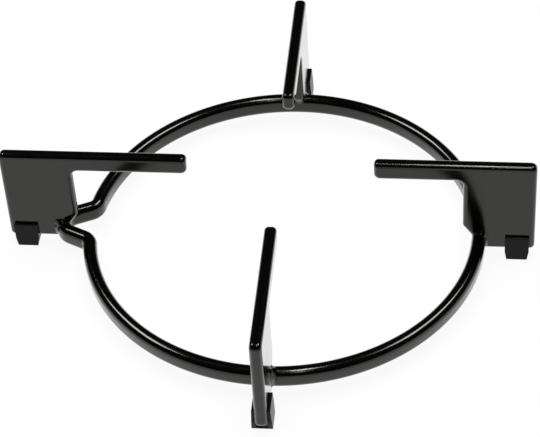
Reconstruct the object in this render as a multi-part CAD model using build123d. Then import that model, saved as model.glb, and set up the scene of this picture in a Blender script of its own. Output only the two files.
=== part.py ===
"""Enamelled pan support for one gas burner: a bent bar ring, four plate fingers and four rubber feet.

The origin is the burner's axis at the hob's surface. +Z is up, and +X runs along the finger that faces
the longer one. All sizes are millimetres.
"""
from build123d import *
import os
from math import atan2, cos, degrees, radians, sin, sqrt

# Heights above the hob
top_height = 48.0
web_clearance = 4.3

# Ring: a flat bar on edge, its edges rounded over, bent to a circle with one loop outward
ring_radius = 78.0
bar_width = 5.7
bar_height = 8.4
bar_round = 2.75
loop_turn_radius = 6.2
loop_bend_radius = 4.8
loop_splay_deg = 25.0

# Fingers: an upright plate with an arm towards the burner and a web down to the hob
plate_thickness = 4.8
plate_round = 1.8
tip_radius = 36.8
web_overhang = 22.0
long_finger_extra = 11.6
web_width = 28.5
arm_depth = 8.0
sharp_corner_round = 1.9
corner_round = 2.4
inner_corner_round = 3.2
nose_rise = 3.2

# Feet: rubber shoes pushed over a tab below each web
foot_length = 9.5
foot_sole_length = 8.0
foot_inset = 2.2
foot_height = 11.4
foot_cheek = 1.2
foot_spread = 0.5
foot_sole = 1.1
foot_edge_round = 0.5
foot_end_round = 0.7
tab_round = 0.8

# Sizes that follow from the ones above
ring_top = web_clearance + bar_height
ring_middle = web_clearance + bar_height / 2
arm_bottom = top_height - arm_depth
finger_reach = ring_radius + web_overhang
web_inner = finger_reach - web_width
foot_middle = finger_reach - foot_inset - foot_length / 2
notch_edge = ring_radius + bar_width / 4

# Fingers, evenly round the ring from +X, each with how much longer it is than the others
fingers = {"right": 0.0, "rear": 0.0, "left": long_finger_extra, "front": 0.0}


def loop_half():
    """Tangent points and mid points of one half of the loop, from the circle to the loop's far end."""
    splay = radians(loop_splay_deg)
    along_leg = Vector(-cos(splay), -sin(splay))
    off_leg = Vector(-sin(splay), cos(splay))
    far_end = Vector(-(ring_radius + long_finger_extra), 0)
    turn_centre = far_end + Vector(loop_turn_radius, 0)
    leg_end = turn_centre + off_leg * loop_turn_radius

    # The bend's centre is one bend radius from the leg's line and from the circle
    foot_of_bend = leg_end + off_leg * loop_bend_radius
    centre_distance = ring_radius + loop_bend_radius
    reach = foot_of_bend.dot(along_leg)
    leg_length = reach - sqrt(reach**2 - foot_of_bend.length**2 + centre_distance**2)
    bend_centre = foot_of_bend - along_leg * leg_length

    on_circle = bend_centre.normalized() * ring_radius
    leg_start = bend_centre - off_leg * loop_bend_radius
    towards_middle = (on_circle - bend_centre) + (leg_start - bend_centre)
    bend_middle = bend_centre + towards_middle.normalized() * loop_bend_radius
    return on_circle, bend_middle, leg_start, leg_end, far_end


def circle_arc(start_bearing, end_bearing):
    """Arc of the ring's circle between two bearings in degrees."""
    middle_bearing = (start_bearing + end_bearing) / 2
    bearings = [radians(b) for b in (start_bearing, middle_bearing, end_bearing)]
    return ThreePointArc(*[Vector(ring_radius * cos(b), ring_radius * sin(b)) for b in bearings])


def ring_path():
    """Centre line of the bar: the circle, two bends, two straight legs and the turn between them."""
    on_circle, bend_middle, leg_start, leg_end, far_end = loop_half()
    loop_bearing = degrees(atan2(on_circle.Y, on_circle.X))
    stops = [-loop_bearing, -90, 0, 90, loop_bearing]

    def opposite(point):
        return Vector(point.X, -point.Y)

    edges = [circle_arc(start, end) for start, end in zip(stops, stops[1:])]
    edges += [
        ThreePointArc(on_circle, bend_middle, leg_start),
        Line(leg_start, leg_end),
        ThreePointArc(leg_end, far_end, opposite(leg_end)),
        Line(opposite(leg_end), opposite(leg_start)),
        ThreePointArc(opposite(leg_start), opposite(bend_middle), opposite(on_circle)),
    ]
    return Pos(0, 0, ring_middle) * Wire(edges)


def make_ring():
    """The bar's rounded section carried once round its centre line."""
    path = ring_path()
    along = path % 0
    across = along.cross(Vector(0, 0, 1))
    section = Plane(origin=path @ 0, x_dir=across, z_dir=along) * RectangleRounded(
        bar_width, bar_height, bar_round
    )
    return sweep(section, path=path)


def finger_profile(extra):
    """Outline of a finger in its upright plane, its inner lower edge running into the bar's section."""
    tip_top = (tip_radius, top_height)
    outer_top = (finger_reach + extra, top_height)
    outer_bottom = (finger_reach + extra, web_clearance)
    notch = (notch_edge + extra, web_clearance)
    nose = (web_inner + extra, ring_top + nose_rise)
    inner_corner = (web_inner + extra, arm_bottom)
    tip_bottom = (tip_radius, arm_bottom)
    outline = make_face(
        Polyline(tip_top, outer_top, outer_bottom, notch, nose, inner_corner, tip_bottom, close=True)
    )

    def corner(point):
        return outline.vertices().sort_by_distance((point[0], point[1], 0))[0]

    outline = fillet([corner(p) for p in (outer_top, nose, tip_bottom)], corner_round)
    outline = fillet([corner(p) for p in (tip_top, outer_bottom)], sharp_corner_round)
    return fillet(corner(inner_corner), inner_corner_round)


def make_finger(extra, ring):
    """A plate with rounded edges and a tab for its foot, notched to sit on the bar."""
    upright = Plane.XZ * finger_profile(extra)
    plate = extrude(upright, plate_thickness / 2, both=True)
    faces = plate.faces().filter_by(Axis.Y)
    plate = fillet(faces.edges(), plate_round)

    tab_top = web_clearance + plate_round
    tab_height = tab_top - foot_sole
    tab = Box(foot_sole_length, plate_thickness, tab_height)
    tab = fillet(tab.faces().sort_by(Axis.Z)[0].edges(), tab_round)
    tab = Pos(foot_middle + extra, 0, foot_sole + tab_height / 2) * tab
    return plate + tab - ring


def make_foot(extra):
    """A shoe of U section: two cheeks that spread a little downwards and a sole, open at both ends."""
    half = plate_thickness / 2 + foot_cheek
    half_sole = half + foot_spread
    section = make_face(
        Polyline((-half_sole, 0), (half_sole, 0), (half, foot_height), (-half, foot_height), close=True)
    )
    section = fillet(section.vertices(), foot_edge_round)
    bar = extrude(Plane.YZ * section, foot_length, both=True)

    side = make_face(
        Polyline(
            (foot_length / 2, foot_height),
            (foot_length / 2, web_clearance),
            (foot_sole_length / 2, 0),
            (-foot_sole_length / 2, 0),
            (-foot_length / 2, web_clearance),
            (-foot_length / 2, foot_height),
            close=True,
        )
    )
    side = fillet(side.vertices(), foot_end_round)
    block = bar & extrude(Plane.XZ * side, foot_height, both=True)

    channel = Pos(0, 0, foot_sole) * Box(
        foot_length, plate_thickness, foot_height, align=(Align.CENTER, Align.CENTER, Align.MIN)
    )
    return Pos(foot_middle + extra, 0, 0) * (block - channel)


def main():
    os.makedirs("parts", exist_ok=True)
    ring = make_ring()
    export_step(ring, "parts/ring.step")
    for number, (place, extra) in enumerate(fingers.items()):
        bearing = 360 * number / len(fingers)
        turned_ring = Rot(0, 0, -bearing) * ring
        finger = Rot(0, 0, bearing) * make_finger(extra, turned_ring)
        export_step(finger, f"parts/finger_{place}.step")
        foot = Rot(0, 0, bearing) * make_foot(extra)
        export_step(foot, f"parts/foot_{place}.step")


main()
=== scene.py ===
from math import atan2, cos, pi, radians, sin, sqrt

import bmesh
import bpy
import numpy as np
from mathutils import Matrix, Vector


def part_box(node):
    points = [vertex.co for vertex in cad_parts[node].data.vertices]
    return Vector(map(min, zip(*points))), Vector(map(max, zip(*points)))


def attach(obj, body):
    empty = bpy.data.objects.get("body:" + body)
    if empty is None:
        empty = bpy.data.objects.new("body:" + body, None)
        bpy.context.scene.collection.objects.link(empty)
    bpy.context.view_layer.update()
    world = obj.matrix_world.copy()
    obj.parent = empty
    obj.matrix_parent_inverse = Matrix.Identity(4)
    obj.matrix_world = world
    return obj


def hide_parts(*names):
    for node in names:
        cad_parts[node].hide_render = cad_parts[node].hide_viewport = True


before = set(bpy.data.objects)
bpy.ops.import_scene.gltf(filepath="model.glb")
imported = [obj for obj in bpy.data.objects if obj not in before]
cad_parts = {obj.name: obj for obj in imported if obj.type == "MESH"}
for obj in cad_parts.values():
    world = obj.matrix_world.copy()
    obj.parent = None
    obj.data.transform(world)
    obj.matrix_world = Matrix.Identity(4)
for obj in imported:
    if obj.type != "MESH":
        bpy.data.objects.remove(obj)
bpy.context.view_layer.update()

bl_info = {
    "name": "Burner pan support",
    "version": (1, 0, 0),
    "blender": (4, 5, 0),
    "location": "View3D > Sidebar > Pan support",
    "description": "Dresses the pan support's frame in enamel and rubber, in a plain studio",
    "category": "Add Mesh",
}

MM = 0.001

# Sizes in millimetres: the frame's boxes of the ring and of one plate, the bar's width, how far the
# loop reaches out from the circle, and how near two points are made one
RING_LOW, RING_HIGH = (Vector(corner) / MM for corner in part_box("ring"))
FINGER_LOW, FINGER_HIGH = (Vector(corner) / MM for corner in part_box("finger_front"))
BAR_WIDTH = 5.7
LOOP_REACH = 11.6
MERGE_DISTANCE = 0.001

# Each plate's bearing round the burner, from the one opposite the loop
BEARINGS = {"right": 0.0, "rear": 0.5 * pi, "left": pi, "front": 1.5 * pi}

# The ring's grid: how far apart its points are along the bar, the fewest on an arc and on a leg, how
# many there are round each corner of the section, and how far each corner's points keep inside their
# own quarter turn, in radians
BAR_SPACING = 0.45
FEWEST_ON_ARC = 12
FEWEST_ON_LEG = 4
POINTS_ON_CORNER = 14
QUARTER_MARGIN = 0.001

# How wide each hand-made weld came out, ahead of and behind its plate, as shares of the usual width
WELDS = {"right": (0.9, 1.0), "rear": (1.0, 0.9), "left": (1.2, 1.1), "front": (1.45, 0.9)}

# A weld's grid, the angle of the bar's section that it starts at, 0 being straight outwards and 90
# straight up, and how far it runs from there over the top and down
WELD_ROWS = 97
WELD_COLUMNS = 9
WELD_START = radians(128)
WELD_SWEEP = radians(160)

# A weld's form: how fast its ends taper, the height and pace of its ripples, how full its face is,
# where 0.5 is flat, how deep its back lies as a share of the width, and how far to the side of its
# turn's centre it may go, as a share of the radius of the bar's skin there
WELD_TAPER = 0.8
RIPPLE_HEIGHT = 0.16
RIPPLE_PACE = 9
WELD_FULLNESS = 0.36
WELD_DEPTH = 0.35
WELD_LIMIT = 0.93

# Enamel glass has an IOR of about 1.5. Seen from the front, two skins of 1.32 shine as one of 1.48
SKIN_IOR = 1.32

# Sizes and distances in metres, radiance in watts per square metre and steradian
TABLE_HALF = 3.0
SENSOR_WIDTH_MM = 36.0
LAMPS = (
    dict(name="softbox", direction=(0.0, 0.15, 1.0), distance=1.6, length=2.0, width=2.0,
         radiance=3.9, soft=True),
    dict(name="strip_left", direction=(-0.53, 0.20, 0.82), distance=1.4, length=0.70, width=0.30,
         radiance=14.0),
    dict(name="strip_right", direction=(0.43, 0.25, 0.87), distance=1.4, length=0.70, width=0.30,
         radiance=14.0),
    dict(name="strip_top", direction=(0.045, -0.05, 1.0), distance=1.5, length=0.45, width=0.09,
         radiance=28.0),
    dict(name="strip_front", direction=(0.10, -0.52, 0.84), distance=1.5, length=0.11, width=0.12,
         radiance=16.0, along=(1, 0, 0)),
)


def linear(hex_colour):
    """sRGB hex to linear red, green, blue and an alpha of one, by the sRGB standard's curve."""
    channels = [int(hex_colour[i : i + 2], 16) / 255 for i in (1, 3, 5)]
    return [c / 12.92 if c <= 0.04045 else ((c + 0.055) / 1.055) ** 2.4 for c in channels] + [1.0]


def add_node(tree, kind, inputs=(), links=(), **settings):
    """Adds one node, with its settings, its sockets' values and its links.

    A link is the node's own socket and another node's output.
    """
    node = tree.nodes.new(kind)
    for name, value in settings.items():
        setattr(node, name, value)
    for socket, value in dict(inputs).items():
        node.inputs[socket].default_value = value
    for socket, output in dict(links).items():
        tree.links.new(output, node.inputs[socket])
    return node


def new_material(name):
    """An empty node material and its tree."""
    material = bpy.data.materials.new(name)
    material.use_nodes = True
    material.node_tree.nodes.clear()
    return material, material.node_tree


def new_object(name, data):
    """A new object in the scene, at the origin."""
    piece = bpy.data.objects.new(name, data)
    bpy.context.scene.collection.objects.link(piece)
    return piece


def dress(node_name, material):
    """Gives a CAD node its material and leaves its mesh as it is."""
    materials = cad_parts[node_name].data.materials
    materials.clear()
    materials.append(material)


def surface(name, grid, material, closed_rows):
    """A smooth quad mesh from a grid of points in millimetres whose every row is a closed loop.

    The rows are joined in a ring too where closed_rows is true. Otherwise each end row has shrunk
    to one point, which the merge makes a pole. The faces are then turned outwards.
    """
    rows, columns = grid.shape[:2]
    index = np.arange(rows * columns).reshape(rows, columns)
    if closed_rows:
        index = np.vstack([index, index[:1]])
    index = np.hstack([index, index[:, :1]])
    corners = [index[:-1, :-1], index[1:, :-1], index[1:, 1:], index[:-1, 1:]]
    faces = np.stack(corners, axis=-1).reshape(-1, 4)
    mesh = bpy.data.meshes.new(name)
    mesh.from_pydata((grid.reshape(-1, 3) * MM).tolist(), [], faces.tolist())
    work = bmesh.new()
    work.from_mesh(mesh)
    bmesh.ops.remove_doubles(work, verts=work.verts, dist=MERGE_DISTANCE * MM)
    bmesh.ops.recalc_face_normals(work, faces=work.faces)
    work.to_mesh(mesh)
    work.free()
    mesh.shade_smooth()
    mesh.materials.append(material)
    piece = new_object(name, mesh)
    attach(piece, "root")
    return piece


def bar_outline(sizes, turn):
    """The bar's section at given angles: a quarter circle of the edge radius round each corner.

    Returns each point's place outwards and upwards from the bar's middle, and the direction that it
    faces. The place is its corner's centre plus the edge radius times that direction.
    """
    facing = np.column_stack([np.cos(turn), np.sin(turn)])
    half = np.array([sizes.bar_width, sizes.bar_height]) / 2 - sizes.bar_round
    return np.where(facing >= 0, half, -half) + sizes.bar_round * facing, facing


def ring_line(sizes):
    """The bar's centre line in plan, and its outward direction at each of its points.

    An arc is its centre plus its radius times the direction of a bearing that grows evenly, and a
    leg divides the line between its ends evenly. The bend beside the loop touches both the circle
    and the leg, so its centre is one bend radius from each.
    """
    splay = sizes.loop_splay
    along_leg = np.array([-cos(splay), -sin(splay)])
    off_leg = np.array([-sin(splay), cos(splay)])
    turn_centre = np.array([sizes.loop_turn - sizes.ring_radius - sizes.loop_reach, 0.0])
    leg_end = turn_centre + off_leg * sizes.loop_turn
    foot_of_bend = leg_end + off_leg * sizes.loop_bend
    bend_distance = sizes.ring_radius + sizes.loop_bend
    reach = foot_of_bend @ along_leg
    leg_length = reach - sqrt(reach**2 - foot_of_bend @ foot_of_bend + bend_distance**2)
    bend_centre = foot_of_bend - along_leg * leg_length
    leg_start = bend_centre - off_leg * sizes.loop_bend

    leaves = atan2(bend_centre[1], bend_centre[0])
    leg_bearing = atan2(off_leg[1], off_leg[0])
    mirror = np.array([1.0, -1.0])

    def arc(centre, radius, start, end, outward=1.0):
        steps = max(FEWEST_ON_ARC, int(radius * abs(end - start) / BAR_SPACING))
        bearing = np.linspace(start, end, steps, endpoint=False)
        away = np.column_stack([np.cos(bearing), np.sin(bearing)])
        return centre + radius * away, outward * away

    def leg(start, end, outward):
        steps = max(FEWEST_ON_LEG, int(np.linalg.norm(end - start) / BAR_SPACING))
        share = np.linspace(0, 1, steps, endpoint=False)[:, None]
        return start + share * (end - start), np.tile(outward, (steps, 1))

    runs = [
        arc(np.zeros(2), sizes.ring_radius, -leaves, leaves),
        arc(bend_centre, sizes.loop_bend, leaves + pi, leg_bearing + pi, -1.0),
        leg(leg_start, leg_end, off_leg),
        arc(turn_centre, sizes.loop_turn, leg_bearing, 2 * pi - leg_bearing),
        leg(leg_end * mirror, leg_start * mirror, off_leg * mirror),
        arc(bend_centre * mirror, sizes.loop_bend, pi - leg_bearing, pi - leaves, -1.0),
    ]
    return [np.vstack(part) for part in zip(*runs)]


def ring_grid(sizes):
    """The bar's section carried along its centre line.

    A point is the line's point, plus the section's outward place times the outward direction, at
    the section's height above the bar's middle.
    """
    line, outward = ring_line(sizes)
    quarter = np.linspace(QUARTER_MARGIN, 0.5 * pi - QUARTER_MARGIN, POINTS_ON_CORNER)
    section, _ = bar_outline(sizes, (np.arange(4)[:, None] * 0.5 * pi + quarter).ravel())
    plan = line[:, None, :] + section[None, :, :1] * outward[:, None, :]
    height = np.broadcast_to(sizes.ring_middle + section[:, 1], plan.shape[:2])
    return np.dstack([plan, height])


def weld_grid(sizes, width, turn_centre, turn_radius, hand, bearing, swell):
    """A weld's bead in the corner between a plate's side and the bar, enamelled over.

    Its path follows the bar's section from the inner upper edge over the top and down the outer
    side. At each point of it the bead goes from the plate's face, one width off the bar, along a
    slightly hollow quadratic curve to the bar's skin, one width off the plate. Its back lies inside
    both. The width is the given one, times a power of the sine of half a turn over the path, which
    shrinks both ends to points, times one plus a small sine for the ripples. Beside the plate the
    bar's skin stands off its turn's centre by the root of its radius squared less the place beside
    the plate squared.
    """
    share = np.linspace(0, 1, WELD_ROWS)
    section, facing = bar_outline(sizes, WELD_START - share * WELD_SWEEP)
    ripple = 1 + RIPPLE_HEIGHT * np.sin(RIPPLE_PACE * share + swell)
    size = width * np.sin(pi * share) ** WELD_TAPER * ripple
    half = sizes.plate_thickness / 2
    skin = turn_radius + section[:, 0]

    def beside(place):
        place = np.minimum(place, WELD_LIMIT * skin)
        out = turn_centre + np.sqrt(skin**2 - place**2)
        return np.column_stack([out, hand * place, sizes.ring_middle + section[:, 1]])

    corner = beside(np.full_like(skin, half))
    off_bar = np.column_stack([facing[:, 0], np.zeros_like(skin), facing[:, 1]])
    on_plate = corner + size[:, None] * off_bar
    on_bar = beside(half + size)
    pull = (corner + WELD_FULLNESS * (on_plate + on_bar - 2 * corner))[:, None]
    s = np.linspace(0, 1, WELD_COLUMNS)[None, :, None]
    bead = (1 - s) ** 2 * on_plate[:, None] + 2 * s * (1 - s) * pull + s**2 * on_bar[:, None]
    inwards = off_bar + np.array([0, hand, 0])
    back = corner - WELD_DEPTH * size[:, None] * inwards
    bead = np.concatenate([bead, back[:, None]], axis=1)
    cosine, sine = cos(bearing), sin(bearing)
    return bead @ np.array([[cosine, sine, 0], [-sine, cosine, 0], [0, 0, 1]])


def black_enamel(finish):
    """Black vitreous enamel fired on steel in two coats: glassy, dark below, pooled in soft waves.

    The waves, some millimetres apart and a few hundredths of a millimetre high, bend the lamps'
    reflections a little, and the finer grain breaks their edges, which tells fired glass from
    paint. The iron in the glass gives what it reflects a faint olive cast. Two glassy skins shine
    together as one denser glass does when seen from the front, and are nearly a mirror at a
    glancing angle, as on the plates' sides.
    """
    material, tree = new_material("black_vitreous_enamel_on_steel")
    place = add_node(tree, "ShaderNodeTexCoord")
    waves = add_node(
        tree, "ShaderNodeTexNoise", {"Scale": 1 / (finish.wave_length * MM), "Detail": 1.0},
        {"Vector": place.outputs["Object"]},
    )
    grain = add_node(
        tree, "ShaderNodeTexNoise", {"Scale": 1 / (finish.grain_size * MM), "Detail": 2.0},
        {"Vector": place.outputs["Object"]},
    )
    swell = add_node(
        tree, "ShaderNodeBump", {"Strength": 1.0, "Distance": finish.wave_height * MM},
        {"Height": waves.outputs["Fac"]},
    )
    skin = add_node(
        tree, "ShaderNodeBump", {"Strength": 1.0, "Distance": finish.grain_height * MM},
        {"Height": grain.outputs["Fac"], "Normal": swell.outputs["Normal"]},
    )
    cloud = add_node(
        tree, "ShaderNodeMapRange",
        {"From Min": 0.3, "From Max": 0.7, "To Min": finish.gloss_low, "To Max": finish.gloss_high},
        {"Value": waves.outputs["Fac"]},
    )
    depth = add_node(
        tree, "ShaderNodeMix", {"A": linear(finish.enamel_dark), "B": linear(finish.enamel_light)},
        {"Factor": grain.outputs["Fac"]}, data_type="RGBA",
    )
    shader = add_node(
        tree, "ShaderNodeBsdfPrincipled",
        {"IOR": SKIN_IOR, "Specular Tint": linear(finish.enamel_cast),
         "Coat Weight": 1.0, "Coat IOR": SKIN_IOR, "Coat Roughness": 0.12},
        {"Base Color": depth.outputs["Result"], "Roughness": cloud.outputs["Result"],
         "Normal": skin.outputs["Normal"], "Coat Normal": skin.outputs["Normal"]},
    )
    add_node(tree, "ShaderNodeOutputMaterial", links={"Surface": shader.outputs["BSDF"]})
    return material


def moulded_rubber(finish):
    """Moulded silicone rubber: dull, slightly warm black with the fine spark grain of its mould."""
    material, tree = new_material("moulded_silicone_rubber")
    place = add_node(tree, "ShaderNodeTexCoord")
    grain = add_node(
        tree, "ShaderNodeTexNoise", {"Scale": 1 / (finish.rubber_grain * MM), "Detail": 3.0},
        {"Vector": place.outputs["Object"]},
    )
    skin = add_node(
        tree, "ShaderNodeBump", {"Strength": 0.4, "Distance": finish.rubber_grain_height * MM},
        {"Height": grain.outputs["Fac"]},
    )
    tone = add_node(
        tree, "ShaderNodeMix", {"A": linear(finish.rubber_dark), "B": linear(finish.rubber_light)},
        {"Factor": grain.outputs["Fac"]}, data_type="RGBA",
    )
    shader = add_node(
        tree, "ShaderNodeBsdfPrincipled",
        {"IOR": 1.41, "Roughness": 0.3, "Specular IOR Level": 0.22},
        {"Base Color": tone.outputs["Result"], "Normal": skin.outputs["Normal"]},
    )
    add_node(tree, "ShaderNodeOutputMaterial", links={"Surface": shader.outputs["BSDF"]})
    return material


def white_table(stage):
    """Matt white laminate, lit for a white ground.

    The camera and the gloss see it as plain white, mixed with the share that the lamps light, so
    that the object's shadow stays.
    """
    material, tree = new_material("matt_white_laminate")
    path = add_node(tree, "ShaderNodeLightPath")
    seen = path.outputs["Is Camera Ray"]
    for ray in ("Is Glossy Ray", "Is Transmission Ray"):
        either = add_node(
            tree, "ShaderNodeMath", links={0: seen, 1: path.outputs[ray]},
            operation="ADD", use_clamp=True,
        )
        seen = either.outputs[0]
    share = add_node(
        tree, "ShaderNodeMath", {1: stage.table_glow}, {0: seen}, operation="MULTIPLY"
    )
    laminate = add_node(
        tree, "ShaderNodeBsdfDiffuse", {"Color": linear(stage.table_colour), "Roughness": 0.5}
    )
    white = add_node(
        tree, "ShaderNodeEmission", {"Color": linear(stage.ground_colour), "Strength": 1.0}
    )
    both = add_node(
        tree, "ShaderNodeMixShader",
        links={"Fac": share.outputs[0], 1: laminate.outputs["BSDF"], 2: white.outputs["Emission"]},
    )
    add_node(tree, "ShaderNodeOutputMaterial", links={"Surface": both.outputs["Shader"]})
    return material


class SupportSizes(bpy.types.PropertyGroup):
    """Sizes of the bar, its loop and the welds, in millimetres."""

    ring_radius: bpy.props.FloatProperty(
        name="Ring radius", description="To the bar's centre line, mm",
        default=(RING_HIGH.x - RING_LOW.x - LOOP_REACH - BAR_WIDTH) / 2,
    )
    bar_width: bpy.props.FloatProperty(
        name="Bar width", description="Across the bar, mm", default=BAR_WIDTH
    )
    bar_height: bpy.props.FloatProperty(
        name="Bar height", description="The bar stands on edge, mm",
        default=RING_HIGH.z - RING_LOW.z,
    )
    ring_middle: bpy.props.FloatProperty(
        name="Ring height", description="The bar's middle above the hob, mm",
        default=(RING_HIGH.z + RING_LOW.z) / 2,
    )
    bar_round: bpy.props.FloatProperty(
        name="Bar edge", description="Radius of its edges, mm", default=2.75
    )
    loop_reach: bpy.props.FloatProperty(
        name="Loop reach", description="From the circle to the loop's far end, mm",
        default=LOOP_REACH,
    )
    loop_turn: bpy.props.FloatProperty(
        name="Loop turn", description="Radius of its far turn, mm", default=6.2
    )
    loop_bend: bpy.props.FloatProperty(
        name="Loop bend", description="Radius of its two bends, mm", default=4.8
    )
    loop_splay: bpy.props.FloatProperty(
        name="Loop splay", description="Lean of each leg", default=radians(25), subtype="ANGLE"
    )
    plate_thickness: bpy.props.FloatProperty(
        name="Plate", description="Thickness of the fingers, mm",
        default=FINGER_HIGH.x - FINGER_LOW.x,
    )
    weld_width: bpy.props.FloatProperty(
        name="Weld", description="Leg of a weld's bead, mm", default=1.5
    )


class SupportFinish(bpy.types.PropertyGroup):
    """Colours and surface scales of the enamel and the rubber."""

    enamel_dark: bpy.props.StringProperty(
        name="Enamel, deep", description="sRGB colour where the glass is thick", default="#010101"
    )
    enamel_light: bpy.props.StringProperty(
        name="Enamel, thin", description="sRGB colour where the glass is thin", default="#040403"
    )
    enamel_cast: bpy.props.StringProperty(
        name="Enamel's cast", description="sRGB tint of what the glass reflects", default="#ffffe6"
    )
    wave_length: bpy.props.FloatProperty(
        name="Wave length", description="Distance between the enamel's soft waves, mm", default=9.0
    )
    wave_height: bpy.props.FloatProperty(
        name="Wave height", description="Height of the enamel's soft waves, mm", default=0.05
    )
    grain_size: bpy.props.FloatProperty(
        name="Grain size", description="Distance between the enamel's fine pits, mm", default=0.9
    )
    grain_height: bpy.props.FloatProperty(
        name="Grain height", description="Height of the enamel's fine pits, mm", default=0.0015
    )
    gloss_low: bpy.props.FloatProperty(
        name="Gloss, best", description="Roughness of the clearest glass", default=0.12
    )
    gloss_high: bpy.props.FloatProperty(
        name="Gloss, worst", description="Roughness of the cloudiest glass", default=0.18
    )
    rubber_dark: bpy.props.StringProperty(
        name="Rubber, dark", description="sRGB colour of the grain's pits", default="#050504"
    )
    rubber_light: bpy.props.StringProperty(
        name="Rubber, light", description="sRGB colour of the grain's crests", default="#0a0a09"
    )
    rubber_grain: bpy.props.FloatProperty(
        name="Rubber grain", description="Distance between the mould's spark marks, mm",
        default=0.35,
    )
    rubber_grain_height: bpy.props.FloatProperty(
        name="Rubber grain height", description="Height of the mould's spark marks, mm",
        default=0.02,
    )


class StudioStage(bpy.types.PropertyGroup):
    """The table, the studio's own light and the camera."""

    table_colour: bpy.props.StringProperty(
        name="Table", description="sRGB colour of the table", default="#f4f4f2"
    )
    ground_colour: bpy.props.StringProperty(
        name="Ground", description="sRGB colour that the table is seen as", default="#ffffff"
    )
    table_glow: bpy.props.FloatProperty(
        name="Table's white", description="Share of the table seen as the plain ground",
        default=0.92, subtype="FACTOR",
    )
    room_colour: bpy.props.StringProperty(
        name="Room", description="sRGB colour of the room's light", default="#e8ecf0"
    )
    room_light: bpy.props.FloatProperty(
        name="Room's light", description="Strength of the room's light", default=0.025
    )
    distance: bpy.props.FloatProperty(
        name="Distance", description="From the camera to its target", default=0.89, unit="LENGTH"
    )
    elevation: bpy.props.FloatProperty(
        name="Elevation", description="How far the camera looks down",
        default=radians(44.0), subtype="ANGLE",
    )
    azimuth: bpy.props.FloatProperty(
        name="Azimuth", description="How far it stands to the right",
        default=radians(8.106), subtype="ANGLE",
    )
    roll: bpy.props.FloatProperty(
        name="Roll", description="How far the picture is turned",
        default=radians(-4.06), subtype="ANGLE",
    )
    lens: bpy.props.FloatProperty(
        name="Lens", description="Focal length on a 36 mm wide sensor, mm", default=148.57
    )
    target_right: bpy.props.FloatProperty(
        name="Target right", description="Target's place along the picture's width",
        default=-0.005277, unit="LENGTH",
    )
    target_height: bpy.props.FloatProperty(
        name="Target height", description="Target's height above the table",
        default=0.0160, unit="LENGTH",
    )


class PAN_OT_steel(bpy.types.Operator):
    """Gives the fingers their enamel and makes the ring and its welds"""

    bl_idname = "pan.steel"
    bl_label = "Enamelled steel"

    def execute(self, context):
        sizes = context.scene.support_sizes
        enamel = black_enamel(context.scene.support_finish)
        ring = surface("bar_ring", ring_grid(sizes), enamel, True)
        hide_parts("ring")
        for place, bearing in BEARINGS.items():
            dress(f"finger_{place}", enamel)
            # The left plate sits on the loop's far turn, the others on the ring's circle
            centre, radius = 0.0, sizes.ring_radius
            if place == "left":
                centre = sizes.ring_radius + sizes.loop_reach - sizes.loop_turn
                radius = sizes.loop_turn
            for side, hand, share in zip(("ahead", "behind"), (1.0, -1.0), WELDS[place]):
                width = sizes.weld_width * share
                grid = weld_grid(sizes, width, centre, radius, hand, bearing, bearing + hand)
                surface(f"weld_{place}_{side}", grid, enamel, False)
        return {"FINISHED"}


class PAN_OT_feet(bpy.types.Operator):
    """Gives the rubber shoes their finish"""

    bl_idname = "pan.feet"
    bl_label = "Rubber feet"

    def execute(self, context):
        rubber = moulded_rubber(context.scene.support_finish)
        for place in BEARINGS:
            dress(f"foot_{place}", rubber)
        return {"FINISHED"}


def placed(side, up, back, position):
    """The matrix of a lamp or camera from its own three axes and its position."""
    return Matrix.Translation(position) @ Matrix((side, up, back)).transposed().to_4x4()


def hang_lamp(name, direction, distance, length, width, radiance, along=(0, 1, 0), soft=False):
    """A rectangular lamp that looks at the object from a direction, its length along an axis.

    Its power is its radiance times its area times pi. A soft lamp only lights, and the others are
    narrow strips that only show in the gloss.
    """
    data = bpy.data.lights.new(name, "AREA")
    data.shape = "RECTANGLE"
    data.size = length
    data.size_y = width
    data.energy = radiance * length * width * pi
    lamp = new_object(name, data)
    lamp.visible_glossy = not soft
    lamp.visible_diffuse = soft
    back = Vector(direction).normalized()
    side = (Vector(along) - Vector(along).dot(back) * back).normalized()
    lamp.matrix_world = placed(side, back.cross(side), back, back * distance)


def lay_table(stage):
    """The plain pale floor that the support stands on."""
    half = TABLE_HALF
    mesh = bpy.data.meshes.new("table")
    corners = [(-half, -half, 0), (half, -half, 0), (half, half, 0), (-half, half, 0)]
    mesh.from_pydata(corners, [], [(0, 1, 2, 3)])
    mesh.materials.append(white_table(stage))
    table = new_object("table", mesh)


def light_room(scene, stage):
    """The faint even light of the room round the lamps."""
    world = bpy.data.worlds.new("dim_studio")
    world.use_nodes = True
    background = world.node_tree.nodes["Background"]
    background.inputs["Color"].default_value = linear(stage.room_colour)
    background.inputs["Strength"].default_value = stage.room_light
    scene.world = world


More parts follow.
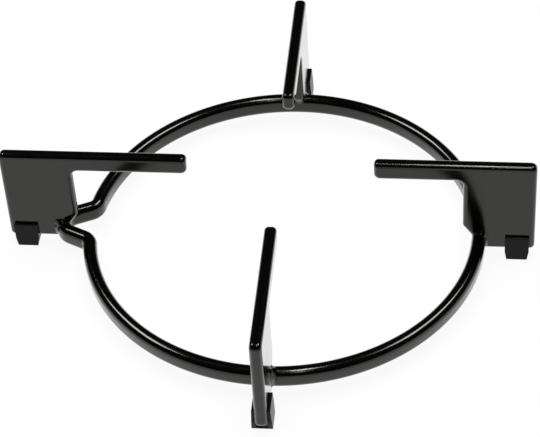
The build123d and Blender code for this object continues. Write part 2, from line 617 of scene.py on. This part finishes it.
def set_camera(scene, stage):
    """The camera at its azimuth, elevation and distance from the target, turned by its roll."""
    right = Vector((cos(stage.azimuth), sin(stage.azimuth), 0))
    level = cos(stage.elevation)
    back = Vector(
        (sin(stage.azimuth) * level, -cos(stage.azimuth) * level, sin(stage.elevation))
    )
    up = back.cross(right)
    rolled_right = cos(stage.roll) * right + sin(stage.roll) * up
    rolled_up = cos(stage.roll) * up - sin(stage.roll) * right
    target = stage.target_right * right + Vector((0, 0, stage.target_height))
    data = bpy.data.cameras.new("camera")
    data.lens = stage.lens
    data.sensor_width = SENSOR_WIDTH_MM
    data.sensor_fit = "HORIZONTAL"
    camera = new_object("camera", data)
    camera.matrix_world = placed(rolled_right, rolled_up, back, target + stage.distance * back)
    scene.camera = camera


class PAN_OT_stage(bpy.types.Operator):
    """Lays the table, hangs the lamps and sets the camera at the photograph's angle"""

    bl_idname = "pan.stage"
    bl_label = "Studio"

    def execute(self, context):
        scene = context.scene
        lay_table(scene.studio_stage)
        for lamp in LAMPS:
            hang_lamp(**lamp)
        light_room(scene, scene.studio_stage)
        set_camera(scene, scene.studio_stage)
        scene.view_settings.view_transform = "Standard"
        return {"FINISHED"}


class PAN_PT_panel(bpy.types.Panel):
    """Lists the support's sizes, finishes and steps"""

    bl_label = "Pan support"
    bl_idname = "PAN_PT_panel"
    bl_space_type = "VIEW_3D"
    bl_region_type = "UI"
    bl_category = "Pan support"

    def draw(self, context):
        scene = context.scene
        for group in (scene.support_sizes, scene.support_finish, scene.studio_stage):
            for name in type(group).__annotations__:
                self.layout.prop(group, name)
        for step in STEPS:
            self.layout.operator(step.bl_idname)


GROUPS = (SupportSizes, SupportFinish, StudioStage)
STEPS = (PAN_OT_steel, PAN_OT_feet, PAN_OT_stage)


def register():
    for cls in GROUPS + STEPS + (PAN_PT_panel,):
        bpy.utils.register_class(cls)
    bpy.types.Scene.support_sizes = bpy.props.PointerProperty(type=SupportSizes)
    bpy.types.Scene.support_finish = bpy.props.PointerProperty(type=SupportFinish)
    bpy.types.Scene.studio_stage = bpy.props.PointerProperty(type=StudioStage)


def unregister():
    del bpy.types.Scene.studio_stage
    del bpy.types.Scene.support_finish
    del bpy.types.Scene.support_sizes
    for cls in reversed(GROUPS + STEPS + (PAN_PT_panel,)):
        bpy.utils.unregister_class(cls)


def main():
    register()
    bpy.ops.pan.steel()
    bpy.ops.pan.feet()
    bpy.ops.pan.stage()


if __name__ == "__main__":
    main()
